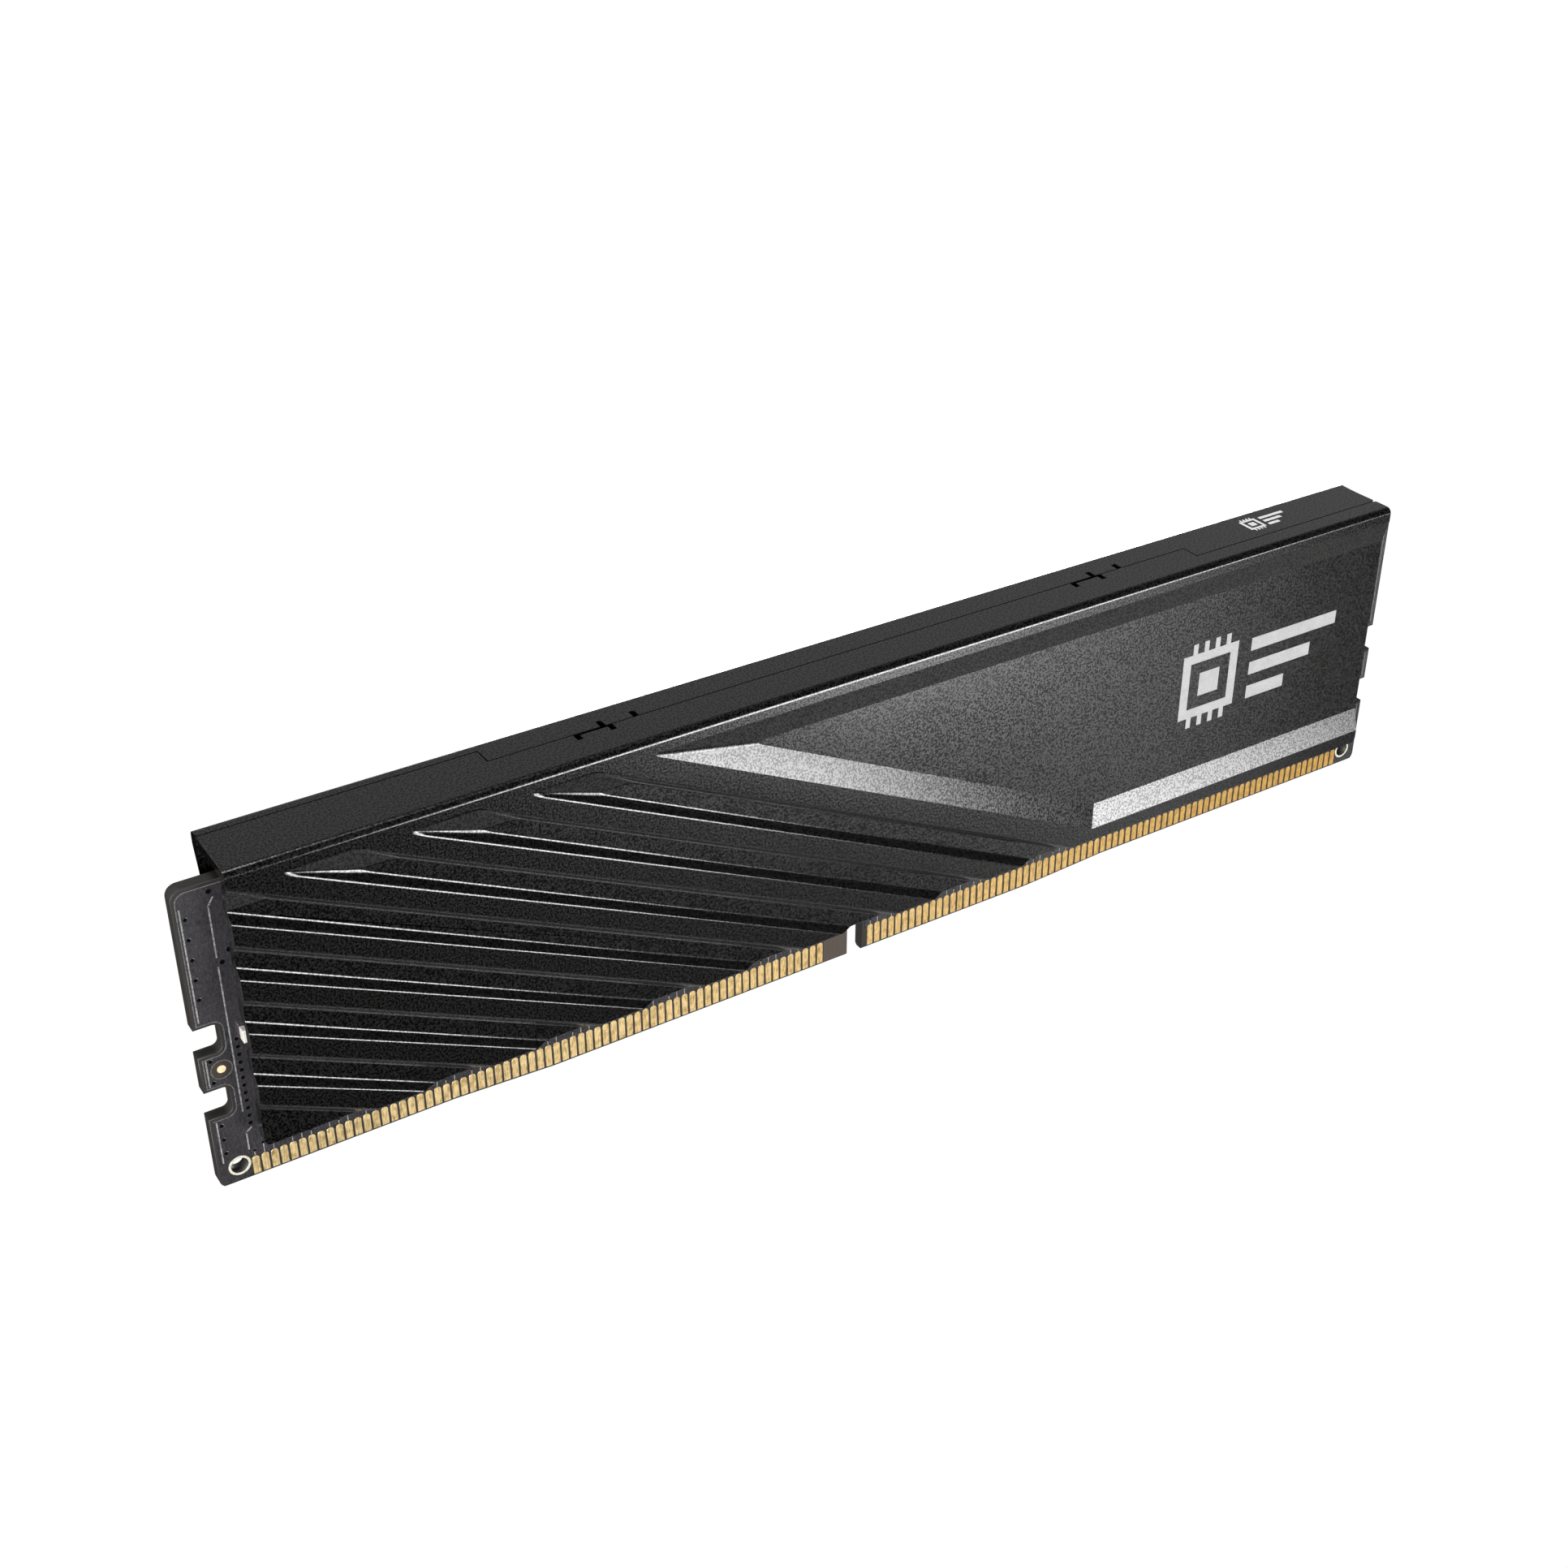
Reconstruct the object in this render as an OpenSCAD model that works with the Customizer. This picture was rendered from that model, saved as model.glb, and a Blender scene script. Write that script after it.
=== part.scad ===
// Memory module: a printed circuit board with gold edge contacts, memory chips and
// a voltage regulator, closed in by two pressed aluminium heat spreader halves.
// X runs along the module, the front faces -Y and +Z is up.
// The origin is at the middle of the board, on the lowest line of its contact edge.

/* [Board] */
// Length of the board
board_l = 133.35; // [132:0.05:135]
// Height of the board above the lowest line of its contact edge
board_h = 31.25; // [30.5:0.05:32]
// Thickness of the bare board
board_t = 1.27; // [1.1:0.01:1.4]
// Radius of the board's four outer corners
corner_r = 1; // [0.6:0.1:1.6]
// How far the two ends of the contact edge lie above its middle
edge_step = 0.5; // [0.3:0.05:0.6]
// Where the left slope of the contact edge starts, from the left end
left_slope = 22; // [16:0.5:26]
// Where the right slope of the contact edge starts, from the left end
right_slope = 87; // [80:0.5:92]
// Length of each slope along the edge
slope_l = 10; // [6:0.5:12]
// Chamfer along both sides of the contact edge
edge_chamfer = 0.28; // [0.15:0.01:0.35]
// Thickness of the solder mask on each face
mask_t = 0.04; // [0.03:0.01:0.05]
// How far the solder mask stays back from the board's edges
mask_gap = 0.28; // [0.15:0.01:0.35]

/* [Key, notches and holes] */
// Left wall of the key slot, from the left end
key_x = 64.4; // [64:0.05:65]
// Width of the key slot
key_w = 1.8; // [1.6:0.05:2]
// Height of the key slot with its round top
key_h = 4.2; // [3.5:0.1:4.8]
// Depth of the latch notches in both ends
notch_d = 2.15; // [1.8:0.05:2.4]
// Height of each latch notch
notch_h = 2.85; // [2.5:0.05:3.1]
// Lower edge of the lower latch notch
notch_low = 8.2; // [7.8:0.1:8.8]
// Lower edge of the upper latch notch
notch_high = 14.75; // [14.2:0.05:15.2]
// Radius of the notches' inner corners
notch_r = 0.6; // [0.3:0.1:0.9]
// Distance of the corner holes from the ends of the board
hole_x = 1.92; // [1.8:0.02:2.1]
// Height of the corner holes
hole_z = 2.4; // [2.3:0.05:2.7]
// Radius of the corner holes
hole_r = 0.78; // [0.6:0.02:0.85]
// Outer radius of the ring around each corner hole
ring_r = 1; // [0.95:0.01:1.05]

/* [Contacts] */
// Contacts to the left of the key slot on one face
left_contacts = 69; // [60:1:69]
// Contacts to the right of the key slot on one face
right_contacts = 75; // [60:1:75]
// Spacing of the contacts
pitch = 0.85; // [0.8:0.01:0.85]
// Width of one contact
contact_w = 0.66; // [0.5:0.01:0.68]
// Distance of the first contact's centre from the left end
first_x = 3.35; // [3.3:0.01:3.5]
// Distance between the contacts on either side of the key slot
key_gap = 5.95; // [5.9:0.05:6.2]
// Height of the contacts' round tops
contact_top = 2.83; // [2.6:0.01:3.2]
// How far the contacts stay above the edge
contact_rise = 0.4; // [0.36:0.01:0.6]
// Thickness of the plated contacts
contact_t = 0.05; // [0.04:0.01:0.07]

/* [Heat spreader] */
// Distance of the spreader's ends from the ends of the board
spreader_inset = 3.68; // [3.5:0.02:4]
// Lower edge of the spreader
spreader_low = 5.5; // [5.3:0.05:6]
// Top of the spreader
spreader_top = 33.6; // [33.2:0.05:34.5]
// Distance from the middle of the board to the outer faces
half_depth = 3.8; // [3.7:0.05:4.2]
// Thickness of the aluminium sheet
sheet_t = 1; // [0.8:0.05:1]
// Outer radius of the bend along the top
bend_r = 0.6; // [0.4:0.05:0.8]
// Gap of the seam between the two halves
seam_gap = 0.12; // [0.08:0.01:0.2]
// Seam's distance behind the middle of the board, between the clips
seam_y = 0.5; // [0.3:0.05:0.7]
// How far the seam jogs to the back on the left and to the front on the right
seam_jog = 1.95; // [1.5:0.05:2.1]
// Distance of both jogs from the middle of the module
jog_x = 38.4; // [34:0.2:44]
// Distance of both clips from the middle of the module
clip_x = 27.1; // [22:0.1:30]

/* [Pressed relief] */
// Depth of the pressed channels and of the panel
relief = 0.65; // [0.4:0.05:0.7]
// Angle of the channels below the horizontal
relief_angle = 26.3; // [24:0.1:28]
// Height at which the lowest full channel meets the left end of the sheet
channel_low = 12.62; // [11.5:0.02:13.5]
// Spacing of the channels, measured upwards
channel_pitch = 5.4; // [5.2:0.02:5.6]
// Height of a channel at the sheet's face, measured upwards
channel_h = 3.2; // [2.8:0.05:3.4]
// Width of a channel's sloping walls
wall_w = 0.6; // [0.4:0.05:0.7]
// Height at which the edge of the panel would meet the left end of the sheet
panel_edge = 50.8; // [50:0.1:52]
// Width of the sloping bevels around the panel
bevel_w = 2.5; // [2:0.1:3]
// Upper edge of the panel and of the channels
relief_top = 32.15; // [31.6:0.05:32.4]
// Lower edge of the panel
panel_low = 7; // [6.6:0.1:8]

/* [Chips] */
// Width of a memory chip
chip_w = 10; // [9:0.1:10.6]
// Height of a memory chip
chip_h = 11; // [9:0.1:12]
// Thickness of a memory chip with its solder joints
chip_t = 1; // [0.8:0.05:1.1]
// Height of the middle of the chips
chip_z = 17; // [16:0.5:18]
// Spacing of the chips
chip_step = 12.2; // [11.8:0.1:12.4]
// Distance of the first chip's centre from the end of the board
chip_first = 12.6; // [12.4:0.1:13]
// How far a thermal pad runs past the chips it covers
pad_edge = 0.4; // [0.2:0.1:0.5]

/* [Clips and marks] */
// Width of a clip's tab
clip_w = 2.7; // [2:0.1:3.4]
// Width of the slits beside a tab
slit_w = 0.56; // [0.4:0.02:0.7]
// Length of the slits beside a tab
slit_l = 1; // [0.8:0.05:1.2]
// Height of the printed mark on the panel
panel_mark = 7.4; // [4:0.1:7.6]
// Height of the printed mark on the top
top_mark = 2; // [1.2:0.1:2.2]

/* [Hidden] */

$fn = 48;
ov = 0.2;                                  // how far cutting shapes run past a face
half_l = board_l / 2;
face = board_t / 2;                        // distance of the bare faces from the middle
mask_face = face + mask_t;
sheet_x = half_l - spreader_inset;         // ends of the spreader
slope_tan = tan(relief_angle);
channels = 7;
inner_floor = half_depth - relief - sheet_t;   // what the pressed floors leave inside
front_dir = -1;
rear_dir = 1;
chip_count = 8;
ring_t = 0.03;                             // thickness of the hole rings and sight marks
mark_x = 1.78;                             // sight marks' distance from the board's ends
mark_z = 12.97;
mark_r = 0.38;
window_r = 0.86;                           // round opening of the mask around a sight mark
regulator_t = 0.85;
small_t = 0.5;                             // thickness of the smallest capacitors
rear_row = 3.6;                            // rows of rear capacitors above and below the chips
pad_z0 = chip_z - chip_h / 2 - pad_edge;
pad_z1 = chip_z + chip_h / 2 + pad_edge;
chip_face = mask_face + chip_t;
group_l = 3 * chip_step + chip_w / 2;      // from a group's first chip centre to its end
tab_end = 0.3;                             // gap in front of a tab's end
tongue_l = 1.1;                            // how far a tab's tongue reaches past the seam
print_t = 0.02;                            // thickness of the printed marks
touch = 0.01;                              // how far shapes run into each other to join
mid = board_l / 2;                         // middle of the board, from its left end
bare_top = 4;                              // top of the bare laminate beside the key slot

// Small parts: length, thickness and height, and their places on the board
regulator_size = [5, regulator_t, 5];
regulator_z = 25.2;
inductor_size = [3.2, 1, 2.5];
inductor_places = [[-6.7, 27], [-6.7, 23.2], [6.7, 25]];
bulk_size = [3.2, 1, 1.6];
bulk_x = 10.4;
bulk_rows = [21.6, 28.8];
supply_size = [2, 0.85, 1.25];
supply_step = 2.6;
supply_rows = [20.6, 29.2];
edge_capacitor_place = [4.75, 16];
small_size = [1, small_t, 0.5];
small_step = 2.4;
decoupling_row = 24.6;
rear_step = 2.6;
info_size = [3, 0.6, 2];
info_z = 13.4;
pack_size = [2, 0.5, 1];
pack_step = 2.8;
pack_row = 8.6;
sense_size = [1, 0.35, 0.5];
sense_x = 3.4;
sense_rows = [16.2, 18];

// Pads: the regulator's reaches past it, and the rear one has pockets for capacitors
regulator_pad_l = 6.4;
regulator_pad_h = 5.6;
rear_pad_x = 8;
rear_pad_z = 9.5;
rear_pad_h = 15.5;
pocket_l = 7.2;
pocket_h = 1.2;
pocket_gap = 0.1;

// Lower left corners of the printed marks
panel_mark_place = [36.6, 15.9];
top_mark_place = [47.2, 0.1];

// Board coordinate of a distance from the left end
function bx(d) = d - half_l;

// Height of the contact edge at a distance from the left end
function edge_z(d) =
    d < left_slope ? edge_step :
    d < left_slope + slope_l ? edge_step * (1 - (d - left_slope) / slope_l) :
    d < right_slope ? 0 :
    d < right_slope + slope_l ? edge_step * (d - right_slope) / slope_l :
    edge_step;

// Distance of contact i's centre from the left end
function left_contact_x(i) = first_x + i * pitch;
function right_contact_x(i) = left_contact_x(left_contacts - 1) + key_gap + i * pitch;

// Distance of chip i's centre from the left end, four on each side of the regulator
function chip_x(i) =
    i < 4 ? chip_first + i * chip_step : board_l - chip_first - (7 - i) * chip_step;

// Distance across the channels of a line that meets the sheet's left end at height z
function across(z) = (z - slope_tan * sheet_x) * cos(relief_angle);

// A flat shape drawn in X and Z, made t thick from y onwards
module slab(y, t) {
    translate([0, y + t, 0]) rotate([90, 0, 0]) linear_extrude(t) children();
}

// A layer of thickness t that lies on the front (-1) or the rear (1) face at distance y
module layer(side, y, t) {
    slab(side < 0 ? -y - t : y, t) children();
}

// A box from its lowest corner, with X given from the left end of the board
module part_box(x, y, z, size) {
    translate([bx(x), y, z]) cube(size);
}

// A part lying on the front face, centred at x from the left end and height z
module on_front(x, z, size) {
    translate([bx(x) - size[0] / 2, -mask_face - size[1], z - size[2] / 2]) cube(size);
}

// ---- board ----

module rounded(x0, z0, x1, z1, r) {
    translate([x0 + r, z0]) square([x1 - x0 - 2 * r, z1 - z0]);
    translate([x0, z0 + r]) square([x1 - x0, z1 - z0 - 2 * r]);
    for (x = [x0 + r, x1 - r], z = [z0 + r, z1 - r]) translate([x, z]) circle(r);
}

// The deeper middle stretch of the contact edge
module deep_edge(m) {
    translate([0, m]) polygon([
        [bx(left_slope), edge_step], [bx(left_slope + slope_l), 0],
        [bx(right_slope), 0], [bx(right_slope + slope_l), edge_step],
        [bx(right_slope + slope_l), 2 * corner_r + edge_step],
        [bx(left_slope), 2 * corner_r + edge_step]]);
}

// One latch notch, opening to the left end, grown by m
module notch(z, m) {
    r = notch_r + m;
    x0 = -half_l - 1;
    x1 = -half_l + notch_d + m;
    translate([x0, z - m]) square([x1 - x0 - r, notch_h + 2 * m]);
    translate([x0, z - m + r]) square([x1 - x0, notch_h + 2 * m - 2 * r]);
    for (c = [z - m + r, z + notch_h + m - r]) translate([x1 - r, c]) circle(r);
}

module key_slot(m) {
    r = key_w / 2 + m;
    translate([bx(key_x) - m, -1]) square([2 * r, key_h + 1 - key_w / 2]);
    translate([bx(key_x) + key_w / 2, key_h - key_w / 2]) circle(r);
}

// The board's outline, drawn back by m from every edge
module outline(m) {
    difference() {
        union() {
            rounded(-half_l + m, edge_step + m, half_l - m, board_h - m, corner_r);
            deep_edge(m);
        }
        for (z = [notch_low, notch_high]) {
            notch(z, m);
            mirror([1, 0]) notch(z, m);
        }
        key_slot(m);
    }
}

// Cutter along one stretch of the contact edge that takes off both lower corners
module edge_cut(d0, z0, d1, z1) {
    a = atan2(z0 - z1, d1 - d0);
    l = norm([d1 - d0, z1 - z0]);
    s = edge_chamfer * sqrt(2);
    for (y = [-face, face])
        translate([bx(d0), y, z0]) rotate([0, a, 0]) rotate([45, 0, 0])
            translate([-ov, -s / 2, -s / 2]) cube([l + 2 * ov, s, s]);
}

module board_core() color("#3b332c") difference() {
    slab(-face, board_t) outline(0);
    for (x = [-1, 1])
        translate([x * (half_l - hole_x), face + 1, hole_z])
            rotate([90, 0, 0]) cylinder(r = hole_r, h = board_t + 2);
    edge_cut(0, edge_step, left_slope, edge_step);
    edge_cut(left_slope, edge_step, left_slope + slope_l, 0);
    edge_cut(left_slope + slope_l, 0, right_slope, 0);
    edge_cut(right_slope, 0, right_slope + slope_l, edge_step);
    edge_cut(right_slope + slope_l, edge_step, board_l, edge_step);
}

// Where the solder mask leaves the contacts and the laminate beside the key bare
module contact_window() {
    gap = 0.1;
    low = contact_top - contact_w / 2;
    left_end = left_contact_x(left_contacts - 1) + contact_w / 2;
    right_start = right_contact_x(0) - contact_w / 2 - gap;
    x0 = left_contact_x(0) - contact_w / 2 - gap;
    x1 = right_contact_x(right_contacts - 1) + contact_w / 2 + gap;
    translate([bx(x0), -1]) square([left_end - x0, low + 1]);
    translate([bx(left_end), -1]) square([key_x - left_end + ov, bare_top + 1]);
    translate([bx(key_x + key_w), -1]) square([right_start - key_x - key_w + ov, low + 1]);
    translate([bx(right_start), -1]) square([x1 - right_start, low + 1]);
}

module fiducial_place() {
    for (x = [-1, 1]) translate([x * (half_l - mark_x), mark_z]) children();
}

module mask_shape() {
    difference() {
        outline(mask_gap);
        for (x = [-1, 1]) translate([x * (half_l - hole_x), hole_z]) circle(ring_r + 0.02);
        fiducial_place() circle(window_r);
        contact_window();
    }
}

module front_mask() color("#454246") layer(front_dir, face, mask_t) mask_shape();

module rear_mask() color("#454246") layer(rear_dir, face, mask_t) mask_shape();

// One contact: square foot, round top
module contact(d) {
    foot = edge_z(d) + contact_rise;
    r = contact_w / 2;
    translate([bx(d) - r, foot]) square([contact_w, contact_top - r - foot]);
    translate([bx(d), contact_top - r]) intersection() {
        circle(r);
        translate([-r, -touch]) square([2 * r, r + touch]);
    }
}

module left_row(side) color("#dcb869")
    for (i = [0 : left_contacts - 1])
        layer(side, face, contact_t) contact(left_contact_x(i));

module right_row(side) color("#dcb869")
    for (i = [0 : right_contacts - 1])
        layer(side, face, contact_t) contact(right_contact_x(i));

module hole_rings() color("#d9d3bd")
    for (side = [front_dir, rear_dir], x = [-1, 1])
        layer(side, face, ring_t) translate([x * (half_l - hole_x), hole_z]) difference() {
            circle(ring_r);
            circle(hole_r);
        }

module fiducials() color("#e3c274")
    for (side = [front_dir, rear_dir])
        layer(side, face, ring_t) fiducial_place() circle(mark_r);

// ---- parts on the board ----

module memory_chip(i) color("#1d1d20")
    on_front(chip_x(i), chip_z, [chip_w, chip_t, chip_h]);

module power_regulator() color("#232326") on_front(mid, regulator_z, regulator_size);

module inductor(i) color("#5b5a58")
    on_front(mid + inductor_places[i][0], inductor_places[i][1], inductor_size);

// A ceramic or tantalum body with a solder cap on each end, along X
module capacitor(x, z, size) {
    cap = size[0] / 5;
    color("#8d7a5c") on_front(x, z, [size[0] - 2 * cap, size[1], size[2]]);
    color("#c9c6bb") for (s = [-1, 1])
        on_front(x + s * (size[0] - cap) / 2, z, [cap, size[1], size[2]]);
}

module bulk_capacitors()
    for (x = [-1, 1], z = bulk_rows)
        capacitor(mid + x * bulk_x, z, bulk_size);

module supply_capacitors()
    for (x = [-1, 0, 1], z = supply_rows)
        capacitor(mid + x * supply_step, z, supply_size);

module edge_capacitor()
    capacitor(edge_capacitor_place[0], edge_capacitor_place[1], supply_size);

module decoupling_capacitors()
    for (i = [0 : chip_count - 1], k = [-1.5 : 1 : 1.5])
        capacitor(chip_x(i) + k * small_step, decoupling_row, small_size);

module rear_capacitors() mirror([0, 1, 0])
    for (i = [0 : chip_count - 1], k = [-1, 0, 1], z = [-rear_row, rear_row])
        capacitor(chip_x(i) + k * rear_step, chip_z + z, small_size);

module module_info_chip() color("#26262a") on_front(mid, info_z, info_size);

module resistor_packs() color("#2b2b2e")
    for (i = [0 : chip_count - 1], k = [-1, 0, 1])
        on_front(chip_x(i) + k * pack_step, pack_row, pack_size);

module sense_resistors() color("#2b2b2e")
    for (x = [-1, 1], z = sense_rows)
        on_front(mid + x * sense_x, z, sense_size);

module pad_over(x0, x1, y0, y1, z0, z1) color("#8e9296")
    part_box(x0, y0, z0, [x1 - x0, y1 - y0, z1 - z0]);

module left_thermal_pad()
    pad_over(chip_first - chip_w / 2 - pad_edge, chip_first + group_l + pad_edge,
             -inner_floor, -chip_face, pad_z0, pad_z1);

module right_thermal_pad() mirror([1, 0, 0]) left_thermal_pad();

module regulator_pad()
    pad_over(mid - regulator_pad_l / 2, mid + regulator_pad_l / 2,
             -inner_floor, -mask_face - regulator_t,
             regulator_z - regulator_pad_h / 2, regulator_z + regulator_pad_h / 2);

module rear_thermal_pad() color("#8e9296") difference() {
    part_box(rear_pad_x, mask_face, rear_pad_z,
             [board_l - 2 * rear_pad_x, inner_floor - mask_face, rear_pad_h]);
    for (i = [0 : chip_count - 1], z = [-rear_row, rear_row])
        part_box(chip_x(i) - pocket_l / 2, mask_face - ov, chip_z + z - pocket_h / 2,
                 [pocket_l, small_t + ov + pocket_gap, pocket_h]);
}

// ---- heat spreader ----

// A bar along X, turned down by angle a, whose section is drawn in Y and Z
module bar(a, l) {
    rotate([0, a, 0]) translate([-l / 2, 0, 0]) rotate([90, 0, 90]) linear_extrude(l) children();
}

// Section of a pressed trough in the front face: w0 and w1 are its walls' widths,
// z0 and z1 its lower and upper edges at the face
module trough(z0, z1, w0, w1) {
    y0 = -half_depth;
    y1 = y0 + relief;
    out0 = w0 * ov / relief;
    out1 = w1 * ov / relief;
    polygon([[y0 - ov, z0 - out0], [y1, z0 + w0], [y1, z1 - w1], [y0 - ov, z1 + out1]]);
}

// The channels, and the panel with its bevels
module relief_shape() {
    far = 60;
    intersection() {
        union() {
            for (k = [0 : channels - 1])
                bar(relief_angle, 2 * board_l)
                    trough(across(channel_low + k * channel_pitch),
                           across(channel_low + k * channel_pitch + channel_h),
                           wall_w, wall_w);
            bar(relief_angle, 2 * board_l)
                trough(across(channel_low - channel_pitch) - far,
                       across(channel_low - channel_pitch + channel_h), wall_w, wall_w);
        }
        bar(0, 2 * board_l) trough(-far, relief_top, wall_w, bevel_w);
    }
    intersection() {
        bar(relief_angle, 2 * board_l)
            trough(across(panel_edge), across(panel_edge) + 2 * far, bevel_w, wall_w);
        bar(0, 2 * board_l) trough(panel_low, relief_top, bevel_w, bevel_w);
    }
}

// The upright sheet of the front half with its pressed relief
module sheet_wall() {
    difference() {
        union() {
            translate([-sheet_x, -half_depth, spreader_low])
                cube([2 * sheet_x, sheet_t, spreader_top - bend_r - spreader_low]);
            intersection() {
                translate([0, sheet_t, 0]) relief_shape();
                translate([-sheet_x, -half_depth, spreader_low])
                    cube([2 * sheet_x, half_depth, spreader_top - spreader_low - sheet_t]);
            }
        }
        relief_shape();
    }
}

// The bend along the top of the front half, up to the flange
module top_bend() {
    intersection() {
        translate([-sheet_x, bend_r - half_depth, spreader_top - bend_r])
            rotate([0, 90, 0]) cylinder(r = bend_r, h = 2 * sheet_x);
        translate([-sheet_x, -half_depth, spreader_top - bend_r])
            cube([2 * sheet_x, bend_r, bend_r]);
    }
}

// Outline of the front half's flange, seen from above; side is -1 for the front half
// and 1 for the rear half, whose edge lies on the other side of the seam gap
module flange_shape(side) {
    e = side * seam_gap / 2;
    back = side < 0 ? bend_r - half_depth : half_depth - bend_r;
    polygon([
        [-sheet_x, back], [-sheet_x, seam_y + seam_jog + e],
        [-jog_x + e, seam_y + seam_jog + e], [-jog_x + e, seam_y + e],
        [jog_x + e, seam_y + e], [jog_x + e, seam_y - seam_jog + e],
        [sheet_x, seam_y - seam_jog + e], [sheet_x, back]]);
}

// The slits beside the tab of the front half, and the gap in front of its end
module front_slits() {
    for (x = [-clip_w - slit_w, 0])
        translate([x, seam_y - slit_l]) square([slit_w, slit_l + ov]);
    translate([-clip_w - touch, seam_y - tab_end])
        square([clip_w + 2 * touch, tab_end + ov]);
}

module rear_slits() {
    for (x = [-slit_w, clip_w])
        translate([x, seam_y - ov]) square([slit_w, slit_l + ov]);
}

// The tongue of a tab, which dips under the other half's flange
module tongue(x0, y0, y1, y2) {
    drop = 0.06;
    thick = 0.45;
    under = spreader_top - sheet_t;
    translate([x0, min(y0, y1), under - thick])
        cube([clip_w, abs(y1 - y0), thick + sheet_t / 2]);
    translate([x0, min(y1, y2), under - thick])
        cube([clip_w, abs(y2 - y1), thick - drop]);
}

module front_spreader() color("#232325") {
    sheet_wall();
    top_bend();
    translate([0, 0, spreader_top - sheet_t]) linear_extrude(sheet_t) difference() {
        flange_shape(front_dir);
        for (x = [-clip_x, clip_x]) translate([x, 0]) front_slits();
    }
    for (x = [-clip_x, clip_x])
        tongue(x - clip_w, seam_y - slit_l, seam_y - tab_end, seam_y + tongue_l);
}

module rear_spreader() color("#232325") {
    rotate([0, 0, 180]) {
        sheet_wall();
        top_bend();
    }
    translate([0, 0, spreader_top - sheet_t]) linear_extrude(sheet_t) difference() {
        flange_shape(rear_dir);
        for (x = [-clip_x, clip_x]) translate([x, 0]) rear_slits();
    }
    for (x = [-clip_x, clip_x])
        tongue(x, seam_y + slit_l, seam_y + seam_gap, seam_y - tongue_l);
}

// ---- printed marks ----

// A plain outline of a chip with legs, and three bars that get shorter, s high
module plain_mark(s) {
    line = 0.14 * s;
    core = 0.36 * s;
    leg_w = 0.08 * s;
    leg_l = 0.16 * s;
    leg_step = 0.2 * s;
    bar_h = 0.2 * s;
    bar_step = 0.38 * s;
    difference() {
        square(s);
        translate([line, line]) square(s - 2 * line);
    }
    translate([(s - core) / 2, (s - core) / 2]) square(core);
    for (k = [0 : 3], z = [-leg_l, s])
        translate([leg_l + leg_step * k, z]) square([leg_w, leg_l]);
    for (k = [0 : 2])
        translate([1.25 * s, 0.76 * s - bar_step * k]) square([(1.6 - 0.45 * k) * s, bar_h]);
}

module panel_print() color("#c9cacc")
    slab(relief - half_depth - print_t, print_t)
        translate(panel_mark_place) plain_mark(panel_mark);

module top_print() color("#e2e3e4")
    translate([0, 0, spreader_top]) linear_extrude(print_t)
        translate(top_mark_place) plain_mark(top_mark);

board_core();
front_mask();
rear_mask();
left_row(front_dir);  // front_left_contacts
right_row(front_dir);  // front_right_contacts
left_row(rear_dir);  // rear_left_contacts
right_row(rear_dir);  // rear_right_contacts
hole_rings();
fiducials();
memory_chip(0);  // memory_chip_1
memory_chip(1);  // memory_chip_2
memory_chip(2);  // memory_chip_3
memory_chip(3);  // memory_chip_4
memory_chip(4);  // memory_chip_5
memory_chip(5);  // memory_chip_6
memory_chip(6);  // memory_chip_7
memory_chip(7);  // memory_chip_8
power_regulator();
inductor(0);  // inductor_1
inductor(1);  // inductor_2
inductor(2);  // inductor_3
bulk_capacitors();
supply_capacitors();
edge_capacitor();
decoupling_capacitors();
rear_capacitors();
module_info_chip();
resistor_packs();
sense_resistors();
left_thermal_pad();
right_thermal_pad();
regulator_pad();
rear_thermal_pad();
front_spreader();
rear_spreader();
panel_print();
top_print();
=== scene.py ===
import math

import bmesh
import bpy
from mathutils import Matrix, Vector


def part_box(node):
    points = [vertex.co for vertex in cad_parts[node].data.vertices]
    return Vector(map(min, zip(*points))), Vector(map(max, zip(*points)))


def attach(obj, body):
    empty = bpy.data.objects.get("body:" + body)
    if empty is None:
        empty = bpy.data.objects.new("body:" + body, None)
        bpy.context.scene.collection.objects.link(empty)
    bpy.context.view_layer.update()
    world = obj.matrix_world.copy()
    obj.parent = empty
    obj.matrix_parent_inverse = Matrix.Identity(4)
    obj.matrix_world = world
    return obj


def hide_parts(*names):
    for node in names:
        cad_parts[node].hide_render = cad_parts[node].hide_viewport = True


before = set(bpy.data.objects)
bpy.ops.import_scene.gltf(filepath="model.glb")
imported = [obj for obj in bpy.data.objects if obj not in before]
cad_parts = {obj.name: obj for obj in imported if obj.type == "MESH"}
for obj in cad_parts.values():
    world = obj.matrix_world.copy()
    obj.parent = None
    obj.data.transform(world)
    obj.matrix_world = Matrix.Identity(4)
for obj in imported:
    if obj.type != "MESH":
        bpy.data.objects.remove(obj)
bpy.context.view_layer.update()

# %% [markdown]
# # A memory module in its heat spreader
# The module is a thin printed circuit board with gold contacts along its lower edge.
# Two pressed aluminium sheets close it in, and a black satin coat covers them.
# The exact solids come from the part's own frame, and this lesson gives them the small
# rounded edges, the films and the finishes that make them look like the real thing.
# We first note the size of the frame, because the finished looks have to stay inside it.

MM = 0.001
board_low, board_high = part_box("board_core")
shell_low, shell_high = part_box("front_spreader")
LEFT, RIGHT = board_low.x, board_high.x
FRONT_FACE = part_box("front_mask")[0].y
print("board, mm:", [round(v / MM, 2) for v in board_high - board_low])

# %% [markdown]
# ## The studio
# The camera stands to the left of the module and above it, and looks down at its middle.
# A long lens keeps the far end from shrinking too much. It is placed first, so that
# every later step can be judged through it.

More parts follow.
